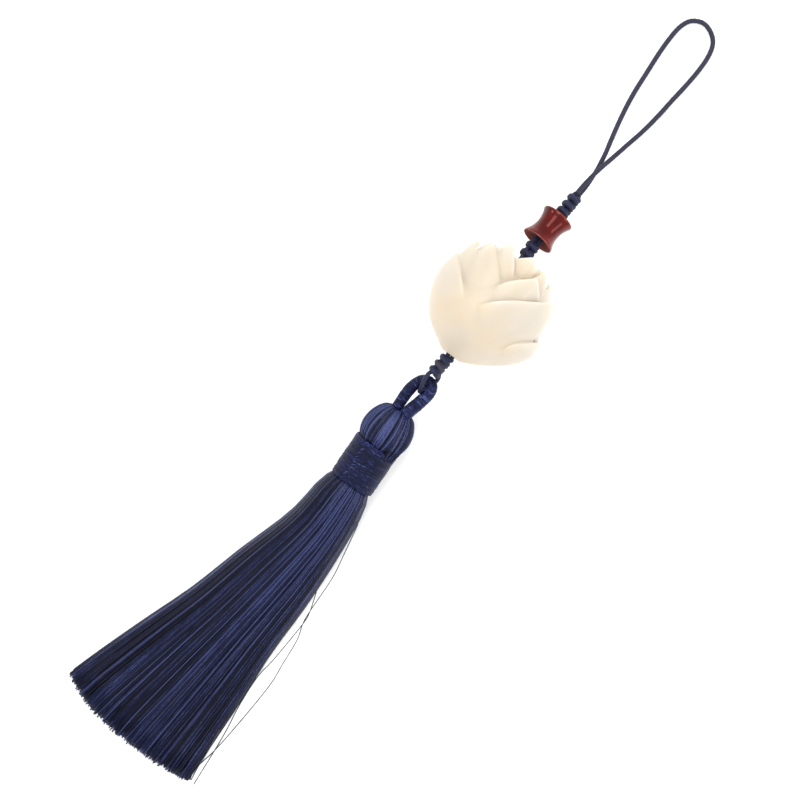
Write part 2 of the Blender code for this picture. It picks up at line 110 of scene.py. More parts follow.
def addGrids(bag, points, lengths, tint, closed=False):
    # points: pieces x stations x ring x 3 in mm; each ring is closed, and the stations too where closed
    pieces, stations, sides = points.shape[:3]
    index = bag["count"] + np.arange(pieces * stations * sides).reshape(pieces, stations, sides)
    here = index if closed else index[:, :-1]
    ahead = np.roll(index, -1, axis=1) if closed else index[:, 1:]
    quads = np.stack([here, np.roll(here, -1, axis=2), np.roll(ahead, -1, axis=2), ahead], axis=-1)
    along = np.broadcast_to(lengths, (pieces, stations)).astype(float)
    alongAhead = np.roll(along, -1, axis=1) if closed else along[:, 1:]
    alongHere = along if closed else along[:, :-1]
    if closed:
        alongAhead = alongAhead.copy()
        alongAhead[:, -1] = along[:, -1] * 2 - along[:, -2]
    low = np.broadcast_to(np.arange(sides) / sides, here.shape)
    high = low + 1.0 / sides
    near = np.broadcast_to(alongHere[:, :, None], here.shape)
    far = np.broadcast_to(alongAhead[:, :, None], here.shape)
    uvs = np.stack([np.stack([low, near], -1), np.stack([high, near], -1),
                    np.stack([high, far], -1), np.stack([low, far], -1)], axis=-2)
    bag["points"].append(points.reshape(-1, 3))
    bag["quads"].append(quads.reshape(-1, 4))
    bag["quadUvs"].append(uvs.reshape(-1, 2))
    if not closed:
        bag["caps"] += index[:, 0, ::-1].tolist() + index[:, -1].tolist()
        for end in (0, -1):
            middle = np.stack([np.full(pieces, 0.5), along[:, end]], -1)
            bag["capUvs"].append(np.repeat(middle, sides, axis=0))
    tint = np.asarray(tint, float)
    while tint.ndim < 3:
        tint = tint[..., None]
    bag["tints"].append(np.broadcast_to(tint, (pieces, stations, sides)).reshape(-1))
    bag["count"] += pieces * stations * sides


def layThreads(bag, lines, facing, radius, sides, tint, closed=False):
    # lines and facing: threads x stations x 3, in mm; facing is roughly outwards, for a steady seam
    if closed:
        ahead = np.roll(lines, -1, axis=1) - np.roll(lines, 1, axis=1)
    else:
        ahead = np.gradient(lines, axis=1)
    ahead = ahead / np.linalg.norm(ahead, axis=2, keepdims=True)
    across = np.cross(ahead, np.broadcast_to(facing, lines.shape))
    across /= np.linalg.norm(across, axis=2, keepdims=True)
    outward = np.cross(across, ahead)
    turn = np.arange(sides) * 2 * math.pi / sides
    ring = outward[:, :, None] * np.cos(turn)[:, None] + across[:, :, None] * np.sin(turn)[:, None]
    radius = np.asarray(radius, float)
    while radius.ndim < 3:
        radius = radius[..., None]
    steps = np.linalg.norm(np.diff(lines, axis=1), axis=2)
    lengths = np.concatenate([np.zeros((len(lines), 1)), np.cumsum(steps, axis=1)], axis=1)
    addGrids(bag, lines[:, :, None] + ring * radius[..., None], lengths, tint, closed)


def bagMesh(bag, name):
    mesh = bpy.data.meshes.new(name)
    mesh.from_pydata((np.concatenate(bag["points"]) * mm).tolist(), [],
                     np.concatenate(bag["quads"]).tolist() + bag["caps"])
    uvs = np.concatenate(bag["quadUvs"] + bag["capUvs"])
    mesh.uv_layers.new(name="along").data.foreach_set("uv", uvs.reshape(-1))
    mesh.attributes.new("tint", "FLOAT", "POINT").data.foreach_set("value", np.concatenate(bag["tints"]))
    mesh.shade_smooth()
    made = bpy.data.objects.new(name, mesh)
    bpy.context.scene.collection.objects.link(made)
    return made


def smoothLine(points, spacing):
    # a curve through the points, read off at even spacing
    points = np.asarray(points, float)
    padded = np.vstack([2 * points[0] - points[1], points, 2 * points[-1] - points[-2]])
    share = np.linspace(0, 1, 24, endpoint=False)[:, None]
    dense = []
    for a, b, c, d in zip(padded, padded[1:], padded[2:], padded[3:]):
        dense.append(0.5 * (2 * b + (c - a) * share + (2 * a - 5 * b + 4 * c - d) * share ** 2
                            + (3 * b - a - 3 * c + d) * share ** 3))
    dense = np.vstack(dense + [points[-1:]])
    travelled = np.concatenate([[0], np.cumsum(np.linalg.norm(np.diff(dense, axis=0), axis=1))])
    places = np.linspace(0, travelled[-1], max(2, round(travelled[-1] / spacing) + 1))
    return np.stack([np.interp(places, travelled, dense[:, k]) for k in range(dense.shape[1])], axis=1)


def lineLength(line):
    return float(np.linalg.norm(np.diff(line, axis=0), axis=1).sum())


def carriedFacing(line, start=(0.0, 0.0, 1.0)):
    ahead = np.gradient(line, axis=0)
    ahead /= np.linalg.norm(ahead, axis=1, keepdims=True)
    facing, last = [], np.array(start, float)
    for step in ahead:
        last = last - step * last.dot(step)
        last = last / np.linalg.norm(last)
        facing.append(last)
    return np.array(facing)


def finishPiece(piece, material, slotName, *nodes):
    piece.data.materials.clear()
    piece.data.materials.append(material)
    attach(piece, "root")
    if nodes:
        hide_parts(*nodes)


# Cord: thin round braided polyester lanyard cord. The braid gives fine slanting dimples and a dull sheen.
cordLook = {
    "dark": "080a18",
    "body": "181c3a",
    "light": "363c66",
    "grey": "2e2b36",
    "sheen": "8a90b4",
    "radius": 0.55,  # mm
    "plaitPitch": 0.8,  # mm, a third wider than the real plait so that it shows
    "plaitDepth": 0.13,  # share of the radius
    "spacing": 0.16,  # mm between rings of the mesh
    "sides": 16,
}


def plaitRadius(radius, lengths, sides, depth=cordLook["plaitDepth"]):
    turn = np.arange(sides) * 2 * math.pi / sides
    slant = math.pi * np.asarray(lengths)[:, None] / cordLook["plaitPitch"]
    ridges = np.maximum(np.abs(np.cos(2 * turn + slant)), np.abs(np.cos(2 * turn - slant)))
    return radius * (1 - depth + depth * ridges)


def layCord(bag, line, radius, tint, closed=False, facing=None):
    steps = np.concatenate([[0], np.cumsum(np.linalg.norm(np.diff(line, axis=0), axis=1))])
    facing = carriedFacing(line) if facing is None else facing
    layThreads(bag, line[None], facing[None], plaitRadius(radius, steps, cordLook["sides"])[None],
               cordLook["sides"], tint, closed)


def makeCordMaterial(facts):
    material, tree, shader = newMaterial("braidedPolyesterCord", {
        "Roughness": 0.62, "IOR": 1.5, "Specular IOR Level": 0.3,
        "Sheen Weight": 0.12, "Sheen Roughness": 0.45, "Sheen Tint": linearColour(facts["sheen"])})
    tint = addNode(tree, "ShaderNodeAttribute", {"attribute_name": "tint"}).outputs["Fac"]
    place = addNode(tree, "ShaderNodeTexCoord").outputs["Object"]
    mottle = addNode(tree, "ShaderNodeTexNoise", None, {
        "Vector": place, "Scale": 900.0, "Detail": 3.0}).outputs["Fac"]  # fibre flecks of about 1 mm
    shade = addNode(tree, "ShaderNodeMath", {"operation": "MULTIPLY_ADD"}, {0: mottle, 1: 0.9, 2: -0.05})
    body = addNode(tree, "ShaderNodeValToRGB", None, {"Fac": shade.outputs[0]}, [
        (0.1, facts["dark"]), (0.5, facts["body"]), (0.85, facts["light"])])
    mixed = addNode(tree, "ShaderNodeMix", {"data_type": "RGBA"}, {
        "Factor": tint, 6: body.outputs["Color"], 7: linearColour(facts["grey"])})  # 6 and 7: its two colours
    tree.links.new(mixed.outputs[2], shader.inputs["Base Color"])
    fibre = addNode(tree, "ShaderNodeTexNoise", None, {
        "Vector": place, "Scale": 4000.0, "Detail": 2.0}).outputs["Fac"]  # single fibres of about 0.25 mm
    bump = addNode(tree, "ShaderNodeBump", None, {"Height": fibre, "Strength": 0.25, "Distance": 0.00005})
    tree.links.new(bump.outputs["Normal"], shader.inputs["Normal"])
    return material


cordMaterial = makeCordMaterial(cordLook)

loopRoute = [
    (3.20, 78.35, 8.15), (3.25, 80.6, 7.55), (3.05, 83.2, 6.6), (2.70, 86.0, 5.4), (2.00, 89.4, 4.1),
    (0.95, 93.2, 2.75), (-0.10, 97.2, 1.75), (-0.95, 101.0, 1.0), (-1.60, 104.8, 0.64),
    (-2.15, 109.5, 0.58), (-2.70, 114.3, 0.58), (-2.95, 118.6, 0.58), (-2.75, 121.9, 0.58),
    (-1.70, 124.3, 0.58), (0.55, 125.6, 0.58), (3.00, 125.2, 0.58), (5.05, 123.6, 0.58),
    (6.10, 120.9, 0.58), (6.45, 117.0, 0.58), (6.35, 112.6, 0.58), (6.05, 108.0, 0.58), (5.80, 103.4, 0.9),
    (5.30, 98.6, 1.75), (4.55, 94.1, 2.95), (3.85, 89.8, 4.6), (3.25, 86.4, 6.65), (2.85, 83.2, 8.0),
    (2.65, 80.6, 8.85), (2.60, 78.35, 9.3),
]  # mm, from the knot round and back to the knot

loopLine = smoothLine(loopRoute, cordLook["spacing"])
loopBag = newBag()
layCord(loopBag, loopLine, cordLook["radius"], 0.45)
cordLoop = bagMesh(loopBag, "cordLoopBraid")
finishPiece(cordLoop, cordMaterial, "cord", "cord_loop")
[tuple(point * mm) for point in smoothLine(loopRoute, 2.0)]
tellStage(f"cord loop, {lineLength(loopLine):.1f} mm of cord")


# Knots: snake knots tied from the doubled cord, with the small link loop below them
knotSetup = {
    "line": [(2.90, 78.35, 8.60), (2.87, 77.2, 8.80), (2.75, 71.75, 9.95), (2.38, 64.66, 11.50),
             (2.40, 61.4, 12.30), (2.66, 58.6, 13.00), (3.41, 34.8, 13.00), (3.20, 32.4, 12.80),
             (2.92, 28.7, 12.25)],
    "rows": [((2.90, 77.8, 8.68), (2.79, 72.4, 9.78), 3),
             ((2.33, 64.1, 11.65), (2.48, 60.0, 12.60), 2),
             ((3.25, 33.2, 12.85), (2.93, 28.15, 12.20), 3)],
    "link": [(2.60, 28.9, 12.5), (2.20, 27.5, 13.05), (2.35, 26.0, 13.15), (2.80, 24.5, 12.6),
             (3.08, 23.6, 11.4), (3.15, 23.45, 10.0), (3.40, 24.05, 8.75), (3.95, 25.8, 8.35),
             (4.55, 27.5, 9.2), (4.20, 28.8, 10.8), (3.35, 29.3, 11.9)],
    "legApart": 0.55,  # mm from the middle to each of the two legs
    "legShare": 0.97,  # pressed together, the legs are a little thinner than the free cord
    "turnRadius": 1.0,
    "sizeJitter": (0.96, 1.04),
    "lean": 18.0,  # degrees, each turn's two arcs lean opposite ways
    "leanJitter": (-3, 3),
    "step": 0.22,  # mm that one arc sits above the other
    "over": 0.3,  # mm that one arc passes in front of the other
    "arcRadius": 0.6,
    "arcStations": 40,
    "linkRadius": 0.5,
    "greyTurn": (2, 1), "greyTint": 0.8,  # row and turn of the one turn that has faded to grey
}


def makeKnots(facts):
    bag = newBag()
    middle = smoothLine(facts["line"], 0.4)
    for side in (-1, 1):
        leg = middle + np.array([side * facts["legApart"], 0, 0])
        leg[0] = loopRoute[0] if side > 0 else loopRoute[-1]
        layCord(bag, leg, cordLook["radius"] * facts["legShare"], 0.0)
    for row, (start, end, turns) in enumerate(facts["rows"]):
        start, end = np.array(start), np.array(end)
        along = (end - start) / np.linalg.norm(end - start)
        side = np.array([1.0, 0.0, 0.0]) - along * along[0]
        side /= np.linalg.norm(side)
        front = np.cross(along, side)  # towards the camera, because the row runs down the charm
        theta = np.linspace(0, 2 * math.pi, facts["arcStations"], endpoint=False)[:, None]
        radial = side * np.cos(theta) + front * np.sin(theta)
        for turn in range(turns):
            centre = start + (end - start) * (turn + 0.5) / turns
            tint = facts["greyTint"] if (row, turn) == facts["greyTurn"] else 0.0
            for sign in (-1, 1):
                lean = math.tan(math.radians(facts["lean"] + chance.uniform(*facts["leanJitter"]))) * sign
                radius = facts["turnRadius"] * chance.uniform(*facts["sizeJitter"])
                ring = (centre + along * (sign * facts["step"] + lean * radius * np.cos(theta))
                        + front * facts["over"] * sign + radial * radius)
                layCord(bag, ring, facts["arcRadius"], tint, True, radial)
    layCord(bag, smoothLine(facts["link"], 0.2), facts["linkRadius"], 0.0)
    return bagMesh(bag, "snakeKnots")


snakeKnots = makeKnots(knotSetup)
finishPiece(snakeKnots, cordMaterial, "cord", "knotted_cord")
tellStage("knots and link loop")


# Waisted bead: turned and polished dark red agate.
# Its gloss over a slightly cloudy body gives sharp windows of light.
beadSetup = {
    "lower": (2.38, 64.66, 11.50), "upper": (2.75, 71.75, 9.95),  # mm, the two ends of its axis
    "length": 7.25, "rimRadius": 3.75, "waistRadius": 2.9, "rimWidth": 0.45,
    "flare": 2.1,  # power of the curve from the waist to the rims
    "holeRadius": 1.2, "lip": 0.25, "dish": 0.75,  # mm, the ends are dished round the hole
    "sides": 96, "cuts": 23, "bevel": 0.14, "bevelAngle": 38, "smoothAngle": 35,
    "dark": "240304", "body": "400505", "bright": "620a09",
    "shine": "ff9a92",  # light that goes a little way into the stone comes back red
    "edge": "8c4a42", "rimHighlightWidth": 0.3,  # painted highlight: the rims are made lighter where their rounded edges would catch the lights
    "polished": {"specular": 0.5, "roughness": (0.1, 0.17)},
    "ground": {"specular": 0.05, "roughness": (0.5, 0.65)},  # the two ends
    "endSlope": 0.8,  # faces that look along the axis by more than this are the ends
}


def turnedPiece(name, outline, sides):
    # a ring drawn out from point to point of a closed outline of (height, radius), and closed on itself
    bpy.ops.object.select_all(action="DESELECT")
    height, radius = outline[0]
    bpy.ops.mesh.primitive_circle_add(
        vertices=sides, radius=radius * mm, location=(0, 0, 0), fill_type="NOTHING")
    piece = bpy.context.object
    piece.name = name
    bpy.ops.object.mode_set(mode="EDIT")
    bpy.ops.mesh.select_all(action="SELECT")
    bpy.ops.transform.translate(value=(0, 0, height * mm))
    for nextHeight, nextRadius in outline[1:] + outline[:1]:
        bpy.ops.mesh.extrude_region_move(
            TRANSFORM_OT_translate={"value": (0, 0, (nextHeight - height) * mm)})
        grow = nextRadius / radius
        bpy.ops.transform.resize(value=(grow, grow, 1), center_override=(0, 0, 0))
        height, radius = nextHeight, nextRadius
    bpy.ops.mesh.select_all(action="SELECT")
    bpy.ops.mesh.remove_doubles(threshold=0.000005)
    bpy.ops.mesh.normals_make_consistent(inside=False)
    bpy.ops.object.mode_set(mode="OBJECT")
    return piece


def makeBead(facts):
    half, rim, hole = facts["length"] / 2, facts["rimRadius"], facts["holeRadius"]
    side = []
    for step in range(facts["cuts"] + 1):
        away = 2 * step / facts["cuts"] - 1
        side.append((away * (half - facts["rimWidth"]),
                     facts["waistRadius"] + (rim - facts["waistRadius"]) * abs(away) ** facts["flare"]))
    lip, floor = hole + facts["lip"], half - facts["dish"]
    outline = ([(-floor, hole), (-floor, lip), (-half, rim)] + side
               + [(half, rim), (floor, lip), (floor, hole)])
    bead = turnedPiece("waistedBeadStone", outline, facts["sides"])
    bevel = bead.modifiers.new("roundedRims", "BEVEL")
    bevel.width, bevel.segments = facts["bevel"] * mm, 3
    bevel.angle_limit = math.radians(facts["bevelAngle"])
    bpy.ops.object.modifier_apply(modifier=bevel.name)
    spots = np.array([vertex.co for vertex in bead.data.vertices]) / mm
    # painted highlight: the colour is lighter near the rims, where their rounded edges would catch the lights
    fromRim = np.hypot(half - np.abs(spots[:, 2]), rim - np.hypot(spots[:, 0], spots[:, 1]))
    rimHighlight = (1 - fromRim / facts["rimHighlightWidth"]).clip(0, 1)
    bead.data.attributes.new("edge", "FLOAT", "POINT").data.foreach_set("value", rimHighlight)
    lower, upper = Vector(facts["lower"]), Vector(facts["upper"])
    bead.rotation_euler = (upper - lower).to_track_quat("Z", "X").to_euler()
    bead.location = (lower + upper) / 2 * mm
    bpy.ops.object.transform_apply(location=True, rotation=True, scale=True)
    bpy.ops.object.shade_smooth_by_angle(angle=math.radians(facts["smoothAngle"]))
    return bead


def makeStoneMaterial(name, facts, finish):
    material, tree, shader = newMaterial(name, {
        "IOR": 1.54, "Specular IOR Level": finish["specular"], "Specular Tint": linearColour(facts["shine"]),
        "Subsurface Weight": 0.08, "Subsurface Radius": (1.0, 0.15, 0.1), "Subsurface Scale": 0.0012})
    place = addNode(tree, "ShaderNodeTexCoord").outputs["Object"]
    cloud = addNode(tree, "ShaderNodeTexNoise", None, {
        "Vector": place, "Scale": 260.0, "Detail": 4.0, "Distortion": 0.8}).outputs["Fac"]  # clouds of 4 mm
    body = addNode(tree, "ShaderNodeValToRGB", None, {"Fac": cloud}, [
        (0.3, facts["dark"]), (0.52, facts["body"]), (0.75, facts["bright"])])
    # painted highlight on the rims, mixed in by the edge attribute
    edge = addNode(tree, "ShaderNodeAttribute", {"attribute_name": "edge"}).outputs["Fac"]
    mixed = addNode(tree, "ShaderNodeMix", {"data_type": "RGBA"}, {
        "Factor": edge, 6: body.outputs["Color"], 7: linearColour(facts["edge"])})
    tree.links.new(mixed.outputs[2], shader.inputs["Base Color"])
    scuff = addNode(tree, "ShaderNodeTexNoise", None, {
        "Vector": place, "Scale": 2600.0, "Detail": 2.0}).outputs["Fac"]  # polishing marks of 0.4 mm
    rough = addNode(tree, "ShaderNodeMapRange", None, {
        "Value": scuff, "To Min": finish["roughness"][0], "To Max": finish["roughness"][1]})
    tree.links.new(rough.outputs["Result"], shader.inputs["Roughness"])
    return material


waistedBead = makeBead(beadSetup)
finishPiece(waistedBead, makeStoneMaterial("polishedRedAgate", beadSetup, beadSetup["polished"]), "red_stone",
            "waisted_bead")
waistedBead.data.materials.append(makeStoneMaterial("groundRedAgate", beadSetup, beadSetup["ground"]))
beadAlong = (Vector(beadSetup["upper"]) - Vector(beadSetup["lower"])).normalized()
for face in waistedBead.data.polygons:
    if abs(face.normal.dot(beadAlong)) > beadSetup["endSlope"]:
        face.material_index = 1
tellStage("waisted bead")


# Lotus bead: carved and polished ivory nut. Smooth, creamy and slightly see-through, with painted shade
# making it warmer in its cuts.
lotusSetup = {
    "base": (3.45, 33.6, 13.0), "yaw": 1.8,
    "body": [(1.1, 1.2), (0.0, 2.1), (0.6, 3.4), (3.4, 8.0), (6.4, 10.8), (9.5, 11.9), (12.5, 12.1),
             (16.0, 11.4), (18.3, 10.3), (21.0, 8.8), (23.6, 6.3), (25.2, 3.6), (24.9, 1.2)],
    # height and radius, mm
    "rings": {  # foot and bulge as (height, radius), and half the angle that a petal covers
        "outer": ((1.0, 4.3), (7.8, 16.4), 41.0),
        "second": ((4.0, 7.5), (12.0, 15.0), 36.0),
        "third": ((9.0, 8.5), (16.5, 12.4), 36.0),
        "inner": ((14.0, 6.8), (20.5, 9.5), 38.0),
    },
    "petals": [  # ring, the foot's angle from the right through the top, the tip's turn, height and radius
        ("outer", 4, 0, 13.8, 13.6), ("outer", 78, -44, 22.0, 13.0), ("outer", 142, 28, 18.6, 12.4),
        ("outer", 212, 0, 18.2, 12.7), ("outer", 272, 8, 18.6, 12.8), ("outer", 332, 0, 16.3, 13.2),
        ("second", 352, 0, 21.8, 11.9), ("second", 67, -5, 24.0, 10.4), ("second", 106, 34, 24.7, 9.3),
        ("second", 141, 29, 23.2, 10.6), ("second", 228, 0, 22.0, 11.2), ("second", 296, 0, 22.6, 11.0),
        ("third", 4, 0, 25.1, 8.4), ("third", 28, 12, 26.4, 7.4), ("third", 119, 0, 26.7, 7.6),
        ("third", 183, 0, 24.9, 7.9), ("third", 246, 0, 25.6, 8.1), ("third", 312, 0, 25.2, 8.0),
        ("inner", 38, 0, 26.3, 5.8), ("inner", 76, 0, 27.3, 6.0), ("inner", 152, 0, 26.6, 5.0),
        ("inner", 214, 0, 26.2, 5.2), ("inner", 286, 0, 26.6, 5.3),
    ],
    "footWall": 1.6, "tipWall": 1.1, "edgeWall": 0.25,  # mm, and the edge's share of the middle's wall
    "dip": 1.05,  # mm that a petal's edges lie below its middle
    "rib": 0.22, "ribWidth": 0.16,  # faint rib down the middle of a petal
    "rows": 22, "columns": 15, "turns": 72,
    "voxel": 0.23, "smoothing": 5, "smoothFactor": 0.5,
    "flatSpot": 0.02,  # mm above the floor, where it rests on its lowest petal
    "axisSlope": 0.03, "tallest": 27.3,
    "rimLine": [(0, 3.4), (3, 8.6), (7.8, 13.2), (12, 13.7), (18, 13.2), (22, 11.6), (25, 8.6), (27.3, 5.4)],
    "recessShadeDepth": 5.5,  # mm below the rim line at which the painted shade in a cut is strongest
    "recessShadeHue": "c6b598", "warm": "bfb19b", "clear": "bab1a3", "pale": "b8b0a5",
}


def placeOnLotus(radius, angle, height, facts):
    yaw = math.radians(facts["yaw"])
    across, rise = radius * np.cos(angle), radius * np.sin(angle)
    x = facts["base"][0] + across * math.cos(yaw) - height * math.sin(yaw)
    y = facts["base"][1] + across * math.sin(yaw) + height * math.cos(yaw)
    return np.stack([x, y, facts["base"][2] + rise], axis=-1)


def petalGrid(petal, facts):
    ring, angle, tipTurn, tipHeight, tipRadius = petal
    foot, bulge, halfAngle = facts["rings"][ring]
    v = np.linspace(0, 1, facts["rows"])[:, None]  # from foot to tip
    u = np.linspace(-1, 1, facts["columns"])  # from edge to edge over the outside, and back over the inside
    u = np.concatenate([u, u[::-1]])[None, :]
    face = np.concatenate([np.zeros(facts["columns"]), np.ones(facts["columns"])])[None, :]
    height = (1 - v) ** 2 * foot[0] + 2 * v * (1 - v) * bulge[0] + v ** 2 * tipHeight
    radius = (1 - v) ** 2 * foot[1] + 2 * v * (1 - v) * bulge[1] + v ** 2 * tipRadius
    wall = facts["footWall"] + (facts["tipWall"] - facts["footWall"]) * v
    thin = facts["edgeWall"] + (1 - facts["edgeWall"]) * (1 - np.abs(u) ** 3)
    dip = facts["dip"] * u ** 2 * np.sin(math.pi * (0.15 + 0.85 * v)).clip(0) ** 0.5
    rib = facts["rib"] * np.exp(-(u / facts["ribWidth"]) ** 2) * v * (1 - face)
    radius = radius - dip - face * wall * thin + rib
    width = np.where(v < 0.5, 0.6 + 0.4 * np.sin(math.pi * v),  # widest half way up, then drawn to a point
                     np.maximum(0.04, 1 - np.abs(2 * v - 1) ** 2.8))
    turn = np.radians(angle + tipTurn * v ** 1.5 + u * halfAngle * width)
    return placeOnLotus(radius, turn, height + 0 * u, facts)


def makeLotus(facts):
    bag = newBag()
    for petal in facts["petals"]:
        grid = petalGrid(petal, facts)
        addGrids(bag, grid[None], np.arange(len(grid)), 0.0)
    turn = np.linspace(0, 2 * math.pi, facts["turns"], endpoint=False)[:, None]
    outline = np.vstack([facts["body"][:1], smoothLine(facts["body"][1:-1], 0.5), facts["body"][-1:]])
    body = placeOnLotus(outline[None, :, 1] + 0 * turn, turn, outline[None, :, 0] + 0 * turn, facts)
    addGrids(bag, body[None], np.arange(facts["turns"]), 0.0, True)
    lotus = bagMesh(bag, "lotusBeadCarving")
    bpy.ops.object.select_all(action="DESELECT")
    lotus.select_set(True)
    bpy.context.view_layer.objects.active = lotus
    bpy.ops.object.mode_set(mode="EDIT")
    bpy.ops.mesh.select_all(action="SELECT")
    bpy.ops.mesh.normals_make_consistent(inside=False)
    bpy.ops.object.mode_set(mode="OBJECT")
    remesh = lotus.modifiers.new("oneCarving", "REMESH")
    remesh.mode, remesh.voxel_size, remesh.use_smooth_shade = "VOXEL", facts["voxel"] * mm, True
    bpy.ops.object.modifier_apply(modifier=remesh.name)
    polish = lotus.modifiers.new("polishedEdges", "SMOOTH")
    polish.factor, polish.iterations = facts["smoothFactor"], facts["smoothing"]
    bpy.ops.object.modifier_apply(modifier=polish.name)
    flat = np.empty(len(lotus.data.vertices) * 3)
    lotus.data.vertices.foreach_get("co", flat)
    points = flat.reshape(-1, 3)
    points[:, 2] = points[:, 2].clip(facts["flatSpot"] * mm)
    lotus.data.vertices.foreach_set("co", points.reshape(-1))
    offset = points / mm - np.array(facts["base"])
    height = offset[:, 1]
    radius = np.hypot(offset[:, 0] + facts["axisSlope"] * height, offset[:, 2])
    # painted shade: points lying below the rim line take the warm shade colour, more the further down they
    # lie
    rim = np.array(facts["rimLine"])
    recessShade = ((np.interp(height, rim[:, 0], rim[:, 1]) - radius) / facts["recessShadeDepth"]).clip(0, 1)
    for name, values in (("recessShade", recessShade), ("height", (height / facts["tallest"]).clip(0, 1))):
        lotus.data.attributes.new(name, "FLOAT", "POINT").data.foreach_set("value", values)
    lotus.data.update()
    return lotus


def makeLotusMaterial(facts):
    material, tree, shader = newMaterial("polishedIvoryNut", {
        "Roughness": 0.45, "IOR": 1.53, "Subsurface Weight": 1.0, "Subsurface Radius": (1.0, 0.8, 0.6),
        "Subsurface Scale": 0.006, "Coat Weight": 0.08, "Coat Roughness": 0.25})
    place = addNode(tree, "ShaderNodeTexCoord").outputs["Object"]
    recessShade = addNode(tree, "ShaderNodeAttribute", {"attribute_name": "recessShade"}).outputs["Fac"]
    height = addNode(tree, "ShaderNodeAttribute", {"attribute_name": "height"}).outputs["Fac"]
    cloud = addNode(tree, "ShaderNodeTexNoise", None, {
        "Vector": place, "Scale": 120.0, "Detail": 3.0}).outputs["Fac"]  # growth clouds of about 8 mm
    lit = addNode(tree, "ShaderNodeMath", {"operation": "MULTIPLY_ADD"}, {0: height, 1: 0.55, 2: cloud})
    body = addNode(tree, "ShaderNodeValToRGB", None, {"Fac": lit.outputs[0]}, [
        (0.45, facts["warm"]), (0.72, facts["clear"]), (1.0, facts["pale"])])  # painted light: paler towards the tips, which catch more light
    # painted shade in the cuts
    mixed = addNode(tree, "ShaderNodeMix", {"data_type": "RGBA"}, {
        "Factor": recessShade, 6: body.outputs["Color"], 7: linearColour(facts["recessShadeHue"])})
    tree.links.new(mixed.outputs[2], shader.inputs["Base Color"])
    grain = addNode(tree, "ShaderNodeTexNoise", None, {
        "Vector": place, "Scale": 1500.0, "Detail": 2.0}).outputs["Fac"]  # faint grain of 0.7 mm
    bump = addNode(tree, "ShaderNodeBump", None, {"Height": grain, "Strength": 0.08, "Distance": 0.00005})
    tree.links.new(bump.outputs["Normal"], shader.inputs["Normal"])
    return material


lotusBead = makeLotus(lotusSetup)
finishPiece(lotusBead, makeLotusMaterial(lotusSetup), "carved_seed", "lotus_bead")
tellStage(f"lotus bead, {len(lotusBead.data.polygons)} faces")


# Silk: twisted rayon thread. Smooth filaments give long bright streaks along the threads and dark gaps sunk
# between them; in the colour these are partly painted sheen, painted glints and painted shade.
silkLook = {
    "stops": [(0.3, "02030a"), (0.52, "050718"), (0.72, "0b0f2e"), (0.88, "1c244c"), (1.0, "3d4672")],
    "sheen": "7f8fd0",
    "twist": 0.55,  # mm for one turn of the ply
    "loose": {"roughness": 0.4, "specular": 0.2, "scale": 1400.0, "stretch": (1.0, 0.12, 1.0),
              "streakAndSheen": 0.4, "glint": 0.65},  # streaks of 0.7 mm along the threads, the threads' own uneven tone with painted sheen
    "wound": {"roughness": 0.46, "specular": 0.12, "scale": 2600.0, "stretch": (0.3, 1.0, 0.45),
              "streakAndSheen": 0.6, "glint": 0.4},  # flecks of 0.4 mm across the winding, uneven tone with painted sheen
}


def makeSilkMaterial(name, facts, finish):
    material, tree, shader = newMaterial(name, {
        "Roughness": finish["roughness"], "IOR": 1.5, "Specular IOR Level": finish["specular"],
        "Sheen Weight": 0.03, "Sheen Roughness": 0.35, "Sheen Tint": linearColour(facts["sheen"])})
    tint = addNode(tree, "ShaderNodeAttribute", {"attribute_name": "tint"}).outputs["Fac"]
    place = addNode(tree, "ShaderNodeTexCoord").outputs
    stretched = addNode(tree, "ShaderNodeMapping", None, {
        "Vector": place["Object"], "Scale": finish["stretch"]})
    streakAndSheen = addNode(tree, "ShaderNodeTexNoise", None, {
        "Vector": stretched.outputs["Vector"], "Scale": finish["scale"], "Detail": 2.0}).outputs["Fac"]
    speckle = addNode(tree, "ShaderNodeTexNoise", None, {
        "Vector": place["Object"], "Scale": 3200.0, "Detail": 1.0}).outputs["Fac"]  # painted glints of 0.3 mm
    shade = addNode(tree, "ShaderNodeMath", {"operation": "MULTIPLY_ADD"}, {
        0: streakAndSheen, 1: finish["streakAndSheen"], 2: tint})
    glint = addNode(tree, "ShaderNodeMath", {"operation": "MULTIPLY_ADD"}, {
        0: speckle, 1: finish["glint"], 2: shade.outputs[0]})
    body = addNode(tree, "ShaderNodeValToRGB", None, {"Fac": glint.outputs[0]}, facts["stops"])
    tree.links.new(body.outputs["Color"], shader.inputs["Base Color"])
    ply = addNode(tree, "ShaderNodeMapping", None, {
        "Vector": place["UV"], "Scale": (2.0, 2.0 / facts["twist"], 1.0)})
    wave = addNode(tree, "ShaderNodeTexWave", {"wave_type": "BANDS", "bands_direction": "DIAGONAL"}, {
        "Vector": ply.outputs["Vector"], "Scale": 0.3, "Distortion": 1.0}).outputs["Fac"]
    bump = addNode(tree, "ShaderNodeBump", None, {"Height": wave, "Strength": 0.3, "Distance": 0.00004})
    tree.links.new(bump.outputs["Normal"], shader.inputs["Normal"])
    return material


silkMaterial = makeSilkMaterial("twistedRayonSilk", silkLook, silkLook["loose"])
wrapMaterial = makeSilkMaterial("woundRayonThread", silkLook, silkLook["wound"])


